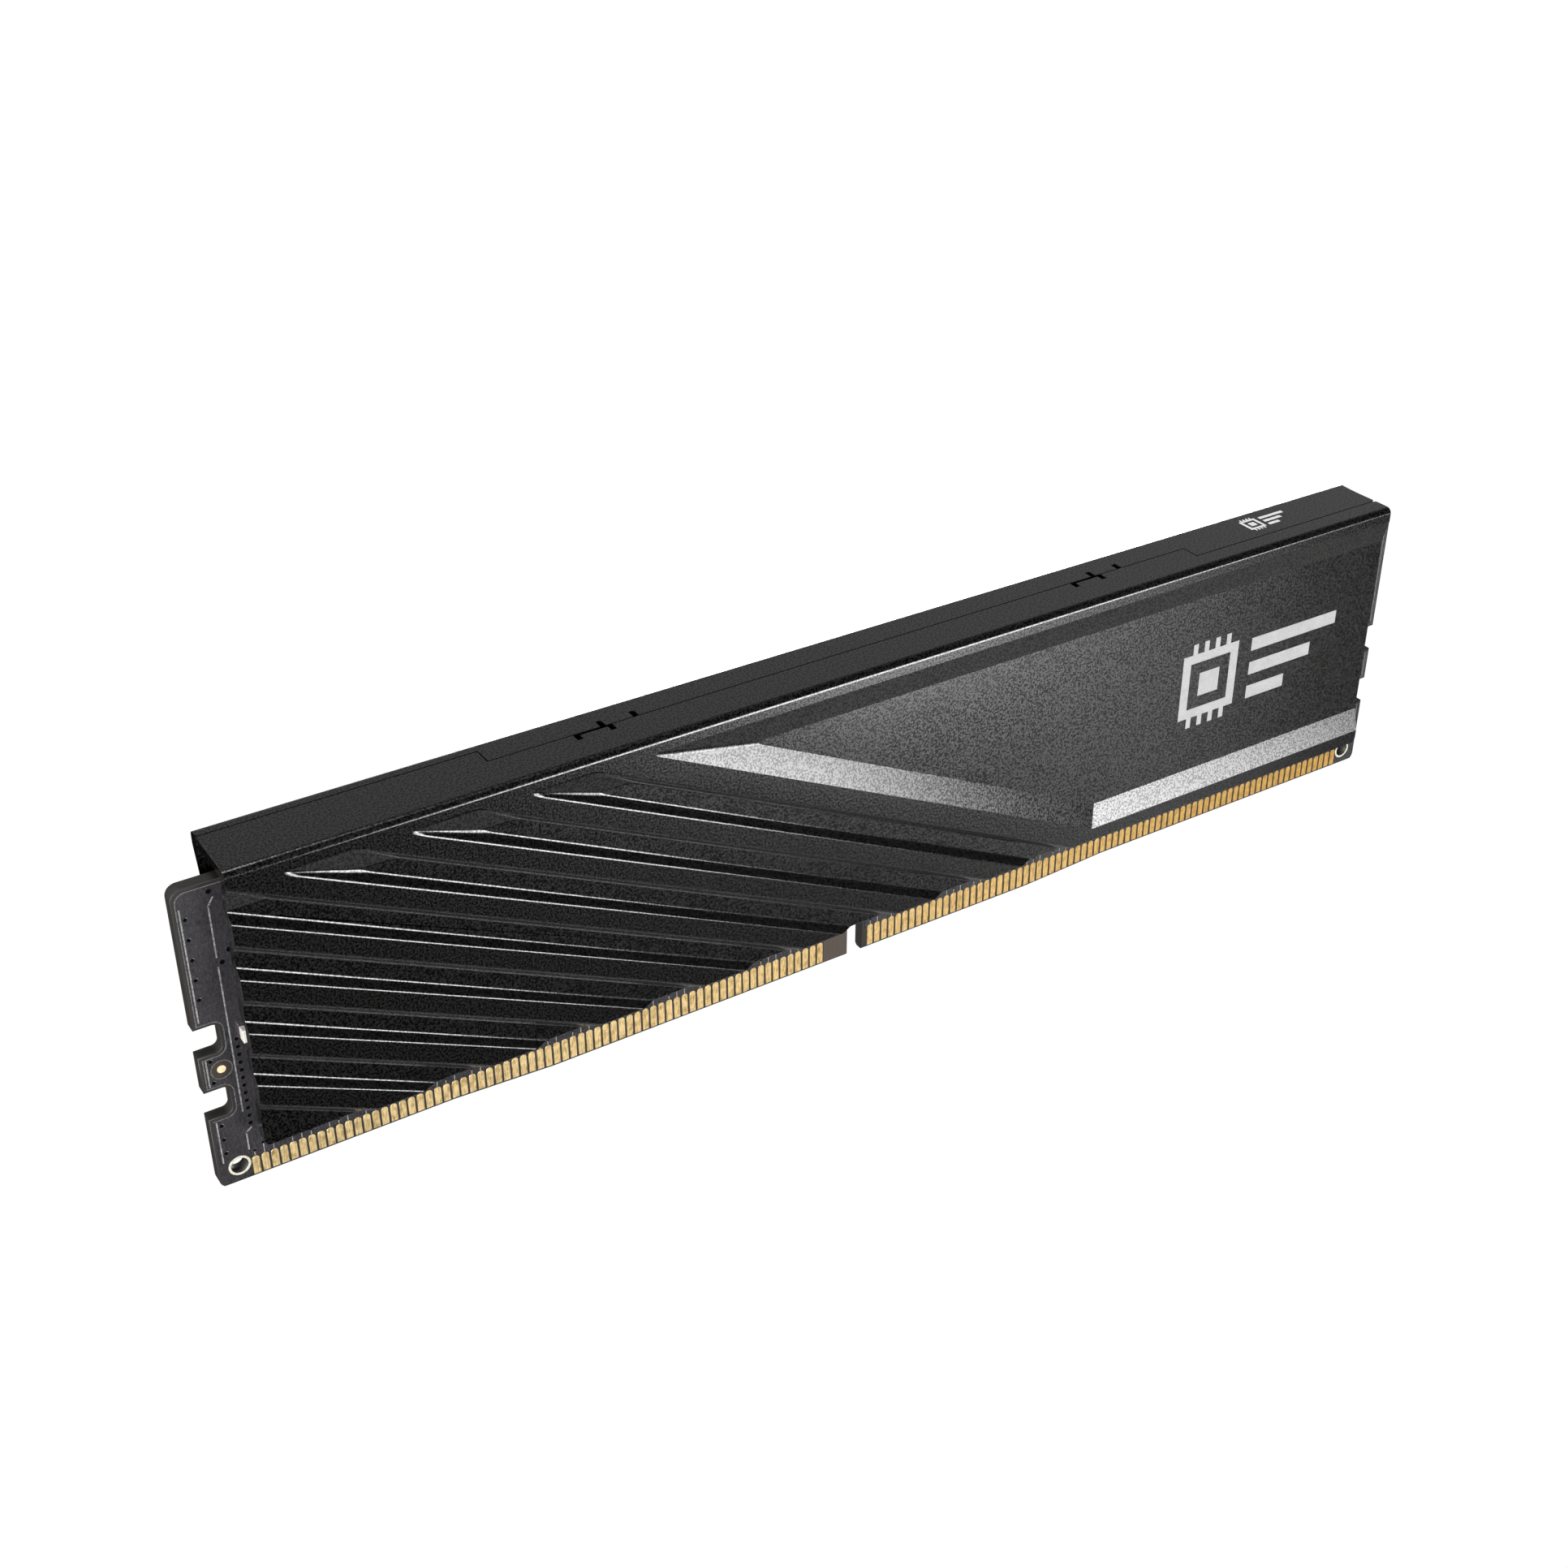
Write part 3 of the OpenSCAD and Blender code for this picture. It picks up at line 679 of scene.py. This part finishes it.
bare_rise = 0.006 * MM
WINDOW_RADIUS = 0.85 * MM
bm = bmesh.new()
for side in (-1, 1):
    for face in (-1, 1):
        y = face * (board_high.y + bare_rise / 2)
        bmesh.ops.create_cone(bm, cap_ends=True, segments=40, radius1=WINDOW_RADIUS,
                              radius2=WINDOW_RADIUS, depth=bare_rise,
                              matrix=facing_front(side * mark_x, y, mark_z))
PATCH_GAP = 0.1 * MM
PATCH_FOOT, PATCH_TOP = 0.36 * MM, 3.9 * MM
left_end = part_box("front_left_contacts")[1].x
key_wall = LEFT + 64.4 * MM
for face in (-1, 1):
    y0 = face * board_high.y
    block(bm, (left_end + PATCH_GAP, min(y0, y0 + face * bare_rise), PATCH_FOOT),
          (key_wall - PATCH_GAP, max(y0, y0 + face * bare_rise), PATCH_TOP))
for f in bm.faces:
    f.material_index = int(abs(f.calc_center_median().x) > RIGHT / 2)
piece("bare_windows", bm, [bare_finish, window_finish], "laminate")

# %% [markdown]
# ## Small parts
# Chips sit on solder balls, a little above the lacquer. Capacitors and resistors have a
# body between two tinned ends that stand out from it. Every one is built from the box
# of its own solid in the frame.


# %% Boxes of separate solids
def solids_of(node):
    """The lowest and highest corner of each separate solid in a frame part."""
    bm = merged_copy(node)
    left, boxes = set(bm.verts), []
    while left:
        group, rim = set(), {left.pop()}
        while rim:
            group |= rim
            rim = {e.other_vert(v) for v in rim for e in v.link_edges} - group
        left -= group
        boxes.append([Vector(pick(v.co[i] for v in group) for i in range(3))
                      for pick in (min, max)])
    bm.free()
    return sorted(boxes, key=lambda b: (b[0].x, b[0].z))


# %% Chips
def paint(faces, number):
    for f in faces:
        f.material_index = number


def faces_with(verts):
    return {f for v in verts for f in v.link_faces}


DOT_RADIUS = 0.3 * MM
DOT_INSET = 0.9 * MM


def mounted_chip(name, node, balls, standoff, slot):
    """A moulded body on solder balls, with a dot in the first corner."""
    (low, high), = solids_of(node)
    bm = bmesh.new()
    block(bm, low, (high.x, high.y - standoff, high.z))
    ease(bm, bm.edges[:], 0.06 * MM, 2)
    dot = bmesh.ops.create_cone(bm, cap_ends=True, segments=20, radius1=DOT_RADIUS,
                                radius2=DOT_RADIUS, depth=0.01 * MM,
                                matrix=facing_front(low.x + DOT_INSET, low.y - 0.004 * MM,
                                                    high.z - DOT_INSET))
    paint(faces_with(dot["verts"]), 1)
    across, up = balls
    for i in range(across):
        for k in range(up):
            if 0 < i < across - 1 and 0 < k < up - 1:
                continue
            x = low.x + (high.x - low.x) * (i + 0.7) / (across + 0.4)
            z = low.z + (high.z - low.z) * (k + 0.7) / (up + 0.4)
            ball = bmesh.ops.create_uvsphere(bm, u_segments=8, v_segments=5,
                                             radius=standoff * 0.62,
                                             matrix=Matrix.Translation(
                                                 (x, high.y - standoff * 0.5, z)))
            paint(faces_with(ball["verts"]), 2)
    piece(name, bm, [chip_finish, dot_finish, solder_finish], slot, node)


for k in range(1, 9):
    mounted_chip(f"moulded_chip_{k}", f"memory_chip_{k}", (9, 11), 0.26 * MM, "chip_body")
mounted_chip("regulator_body", "power_regulator", (7, 7), 0.08 * MM, "chip_body")
mounted_chip("info_chip_body", "module_info_chip", (4, 3), 0.06 * MM, "chip_body")

# %% Parts with tinned ends
def ended_parts(name, node, body_finish, slot, cap_share):
    """Bodies between two tinned ends, one for each solid of the node."""
    bm = bmesh.new()
    inset = 0.03 * MM
    for low, high in solids_of(node):
        cap = (high.x - low.x) * cap_share
        inner_low = Vector((low.x + cap * 0.9, low.y + inset, low.z + inset))
        inner_high = Vector((high.x - cap * 0.9, high.y - inset, high.z - inset))
        if abs(high.y) < abs(low.y):
            inner_high.y = high.y
        else:
            inner_low.y = low.y
        block(bm, inner_low, inner_high)
        for x0, x1 in ((low.x, low.x + cap), (high.x - cap, high.x)):
            made = block(bm, (x0, low.y, low.z), (x1, high.y, high.z))
            paint(faces_with(made), 1)
    ease(bm, bm.edges[:], 0.05 * MM * min(1, cap_share * 5), 1)
    piece(name, bm, [body_finish, tin_finish], slot, node)


for name, node, cap_share in (("bulk_capacitor_bodies", "bulk_capacitors", 0.2),
                              ("supply_capacitor_bodies", "supply_capacitors", 0.2),
                              ("edge_capacitor_body", "edge_capacitor", 0.22),
                              ("decoupling_bodies", "decoupling_capacitors", 0.2),
                              ("rear_capacitor_bodies", "rear_capacitors", 0.2)):
    ended_parts(name, node, ceramic_finish, "capacitor_body", cap_share)
ended_parts("resistor_bodies", "resistor_packs", chip_finish, "chip_body", 0.16)
ended_parts("sense_resistor_bodies", "sense_resistors", chip_finish, "chip_body", 0.2)
for k in (1, 2, 3):
    ended_parts(f"inductor_body_{k}", f"inductor_{k}", ferrite_finish, "ferrite", 0.1)

# %% [markdown]
# ## Pads and printed marks
# The soft pads fill the space between the parts and the sheet, so their edges are
# pressed round. The printed marks keep their exact shape and only get their ink.

# %% Pads and marks
for node in ("left_thermal_pad", "right_thermal_pad", "regulator_pad", "rear_thermal_pad"):
    bm = merged_copy(node)
    ease(bm, sharp_edges(bm, 60, 0.3 * MM), 0.12 * MM, 3)
    smooth_rounds(bm, 0.2 * MM)
    piece(node + "_soft", bm, [pad_finish], "thermal_pad", node)

for node, ink in (("panel_print", panel_ink), ("top_print", top_ink)):
    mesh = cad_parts[node].data
    mesh.materials.clear()
    mesh.materials.append(ink)
    print(node, "gets", ink.name)

# %% [markdown]
# ## Light and floor
# Black satin shows only what it reflects, so the light is placed where each face looks.
# The sloping bevels look low to the front right, where one wide soft window stands, a
# little tilted. Its twin stands behind the rear. The top looks up and back into the dim
# far half of the room, while the near half and the ceiling stay dark, which keeps the
# channels' walls black. Windows painted on the room's walls have soft edges and no
# distance, so the reflections run evenly along the whole module. This light is set for
# the camera above: from behind, the flat rear face mirrors the twin and the rear lamp
# and comes out nearly white, so both have to be turned down for a picture from there.
# First come two helpers: one turns angles into a direction, and one paints a window by
# measuring how far a direction lies from the window's middle, along each side.


# %% Directions and soft windows
def from_direction(turn, rise):
    """The direction seen turn degrees to the right of the front and rise degrees up."""
    turn, rise = math.radians(turn), math.radians(rise)
    return Vector((math.sin(turn) * math.cos(rise), -math.cos(turn) * math.cos(rise),
                   math.sin(rise)))


def window(sky, look, turn, rise, wide, high, roll, soft):
    """1 inside a soft-edged rectangle of wide by high degrees, 0 outside it."""
    centre = from_direction(turn, rise)
    level = from_direction(turn + 90, 0)
    upright = level.cross(centre) * -1
    roll = math.radians(roll)
    axes = (level * math.cos(roll) + upright * math.sin(roll),
            upright * math.cos(roll) - level * math.sin(roll))
    ahead = sky.node("VectorMath", {"operation": "DOT_PRODUCT"}, {0: look, 1: centre}, "Value")
    inside = sky.fade(ahead, 0.0, 0.2)
    for axis, size, blur in zip(axes, (wide, high), soft):
        side = sky.node("VectorMath", {"operation": "DOT_PRODUCT"}, {0: look, 1: axis}, "Value")
        offset = sky.node("Math", {"operation": "ABSOLUTE"}, {0: side / ahead})
        half, blur = math.tan(math.radians(size / 2)), math.radians(blur) / 2
        inside = inside * sky.fade(offset, half + blur, half - blur)
    return inside


# %% [markdown]
# The room's own glow grows from the floor line to the height that the top mirrors, and is
# held back above it and in front. A faint glow from the floor follows. Each face then gets
# three windows: the bright one for the bevels, a low dim one for the lower walls, and a
# small weak one that keeps the panel from fading too soon. The last stands straight
# overhead, where nothing mirrors it, and makes the mark on the top white.

# %% Room
BEVEL_LIGHT, LOW_LIGHT, PANEL_LIGHT, OVERHEAD_LIGHT = 11.2, 0.39, 0.75, 18
room = bpy.data.worlds.new("room")
room.use_nodes = True
bpy.context.scene.world = room
sky = Nodes(room.node_tree)
look = sky.node("TexCoord", {}, {}, "Generated")
height = sky.node("SeparateXYZ", {}, {0: look}, "Z")
behind = sky.node("SeparateXYZ", {}, {0: look}, "Y")
glow = (sky.fade(height, -0.5, 0.35, 0.0, 0.36) * sky.fade(height, 0.4, 0.75, 1.0, 0.3)
        * sky.fade(behind, -0.2, 0.35, 0.12, 1.0))
glow += sky.fade(height, -0.72, -0.86, 0.0, 0.3)
for turn, mirrored in ((0, 1), (180, -1)):
    glow += window(sky, look, turn + mirrored * 30.6, -15.2, 19, 19.9, -22.8 * mirrored,
                   (3, 8.2)) * BEVEL_LIGHT
    glow += window(sky, look, turn + mirrored * 62, -46, 32, 16, 0, (12, 12)) * LOW_LIGHT
    glow += window(sky, look, turn + mirrored * 42.5, -28.5, 6.4, 10, 0, (4, 6)) * PANEL_LIGHT
glow += window(sky, look, 0, 89, 20, 20, 0, (6, 6)) * OVERHEAD_LIGHT
seen = sky.node("LightPath", {}, {}, "Is Camera Ray")
shown = sky.node("Mix", {"data_type": "FLOAT"}, {0: seen, 2: glow, 3: 1.0})
sky.join(shown, room.node_tree.nodes["Background"].inputs["Strength"])
room.node_tree.nodes["Background"].inputs["Color"].default_value = (1, 1, 1, 1)
print("nodes in the room's light:", len(room.node_tree.nodes))

# %% [markdown]
# The lacquer and the gold lie flat and need light from the side to show their grain. One
# lamp stands at the left end of the front and a weaker one behind the right end. The
# camera doesn't see them.


# %% Side lamps
def lamp(name, turn, rise, size, radiance, distance=0.8):
    """A square area light that faces the module."""
    light = bpy.data.lights.new(name, "AREA")
    light.shape = "SQUARE"
    light.size = size
    light.energy = radiance * math.pi * size * size
    thing = bpy.data.objects.new(name, light)
    away = from_direction(turn, rise)
    thing.location = away * distance
    thing.rotation_euler = away.to_track_quat("Z", "Y").to_euler()
    thing.visible_camera = False
    bpy.context.scene.collection.objects.link(thing)
    print(name, "stands", distance, "m away")


lamp("left_lamp", -50, 10, 0.3, 42.0)
lamp("rear_lamp", 130, -15, 0.3, 10.0)

# %% [markdown]
# The floor is a wide sheet of white paper far below, which glows evenly and takes no
# shadow. It only shows to the camera, so it can't brighten the black coat.

# %% Floor
FLOOR_SIZE, FLOOR_DROP = 12, 0.9
paper = Finish("floor_paper", IOR=1.0, Roughness=1.0, Emission_Strength=1.0)
fibres = paper.noise(1.5 * MM, 3.0)
white = paper.blend(grey(1.0), grey(1.01), paper.fade(fibres, 0.3, 0.7))
paper.coat(Base_Color=(0, 0, 0, 1), Emission_Color=white)
bm = bmesh.new()
bmesh.ops.create_grid(bm, x_segments=8, y_segments=8, size=FLOOR_SIZE)
bmesh.ops.translate(bm, vec=(0, 0, -FLOOR_DROP), verts=bm.verts)
mesh = bpy.data.meshes.new("floor")
bm.to_mesh(mesh)
bm.free()
mesh.materials.append(paper.material)
floor = bpy.data.objects.new("floor", mesh)
bpy.context.scene.collection.objects.link(floor)
floor.visible_glossy = False
floor.visible_diffuse = False
floor.visible_shadow = False
bpy.context.scene.view_settings.view_transform = "Standard"
print("floor lies", FLOOR_DROP, "m down")
